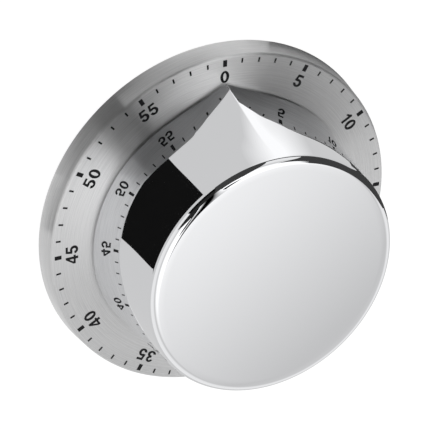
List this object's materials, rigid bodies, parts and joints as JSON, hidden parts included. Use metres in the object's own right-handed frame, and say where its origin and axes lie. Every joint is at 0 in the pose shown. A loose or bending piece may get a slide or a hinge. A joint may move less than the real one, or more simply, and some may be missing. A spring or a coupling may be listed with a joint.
{
  "type": "kitchen timer",
  "caption": "Round clockwork kitchen timer: brushed steel minute dial on a magnetic back, with a tapered chrome turning knob that points to the minutes.",
  "frame": {"origin": "middle of the back's rest plane, under the knob's axis", "axes": "+Z out of the dial along the knob's axis, +Y towards the 0 mark"},
  "size_m": [0.078, 0.078, 0.031],
  "materials": {
    "brushed_steel": "circular brushed",
    "chrome": "mirror polished",
    "steel": "bright drawn steel",
    "brass": "stamped brass",
    "spring_steel": "blued spring steel",
    "black_plastic": "fine moulded texture",
    "rubber": "matt",
    "ferrite": "sintered, matt"
  },
  "bodies": {
    "base": {"dial_case": "brushed_steel", "back_cover": "black_plastic", "rubber_pad": "rubber", "magnet_1": "ferrite", "magnet_2": "ferrite", "magnet_3": "ferrite", "back_screw_1": "steel", "back_screw_2": "steel", "back_screw_3": "steel", "plate_pillar_1": "steel", "plate_pillar_2": "steel", "plate_pillar_3": "steel", "pillar_nut_1": "brass", "pillar_nut_2": "brass", "pillar_nut_3": "brass", "movement_back_plate": "brass", "movement_front_plate": "brass", "stop_post": "steel", "bell": "steel", "bell_post": "brass", "bell_screw": "steel", "mainspring": "spring_steel", "hammer_spring": "spring_steel", "trip_spring": "spring_steel", "trip_pivot": "steel"},
    "knob": {"knob_shell": "chrome", "hub_bush": "brass", "main_arbor": "steel", "cam_disc": "steel", "cam_collar": "brass", "ratchet_wheel": "steel", "click": "steel", "click_rivet": "brass", "spring_hub": "brass", "main_wheel": "brass", "stop_pin": "steel"},
    "second_wheel_set": {"second_arbor": "steel", "second_pinion": "steel", "second_wheel": "brass"},
    "third_wheel_set": {"third_arbor": "steel", "third_pinion": "steel", "third_wheel": "brass"},
    "escape_wheel_set": {"escape_arbor": "steel", "escape_pinion": "steel", "escape_wheel": "brass"},
    "anchor_set": {"anchor_arbor": "steel", "anchor": "steel", "balance_weight": "brass"},
    "hammer_set": {"hammer_arbor": "steel", "hammer_arm": "steel", "hammer_tail": "steel"},
    "trip_lever_set": {"trip_lever": "steel"}
  },
  "joints": [
    {"name": "knob_turn", "type": "hinge", "parent": "base", "child": "knob", "pos_m": [0, 0, 0.013], "axis": [0, 0, -1], "range_deg": [0, 348]},
    {"name": "second_wheel_spin", "type": "hinge", "parent": "base", "child": "second_wheel_set", "pos_m": [-0.01212, 0.007, 0.013], "axis": [0, 0, -1], "range_deg": [-2089, 0]},
    {"name": "third_wheel_spin", "type": "hinge", "parent": "base", "child": "third_wheel_set", "pos_m": [-0.01367, -0.00303, 0.013], "axis": [0, 0, -1], "range_deg": [0, 10024]},
    {"name": "escape_wheel_spin", "type": "hinge", "parent": "base", "child": "escape_wheel_set", "pos_m": [-0.01215, -0.0116, 0.013], "axis": [0, 0, -1], "range_deg": [-48109, 0]},
    {"name": "anchor_rock", "type": "hinge", "parent": "base", "child": "anchor_set", "pos_m": [-0.00637, -0.01683, 0.013], "axis": [0, 0, -1], "range_deg": [-5, 5]},
    {"name": "hammer_swing", "type": "hinge", "parent": "base", "child": "hammer_set", "pos_m": [0.01449, 0.00388, 0.013], "axis": [0, 0, -1], "range_deg": [0, 14], "stiffness_Nm_per_rad": 0.0001, "springref_deg": -5.73},
    {"name": "trip_lever_swing", "type": "hinge", "parent": "base", "child": "trip_lever_set", "pos_m": [0.00793, 0.01781, 0.013], "axis": [0, 0, 1], "range_deg": [0, 9], "stiffness_Nm_per_rad": 0.0001, "springref_deg": -5.73}
  ],
  "couplings": [
    {"joint": "second_wheel_spin", "follows": "knob_turn", "ratio": -6},
    {"joint": "third_wheel_spin", "follows": "knob_turn", "ratio": 28.8},
    {"joint": "escape_wheel_spin", "follows": "knob_turn", "ratio": -138.24}
  ]
}
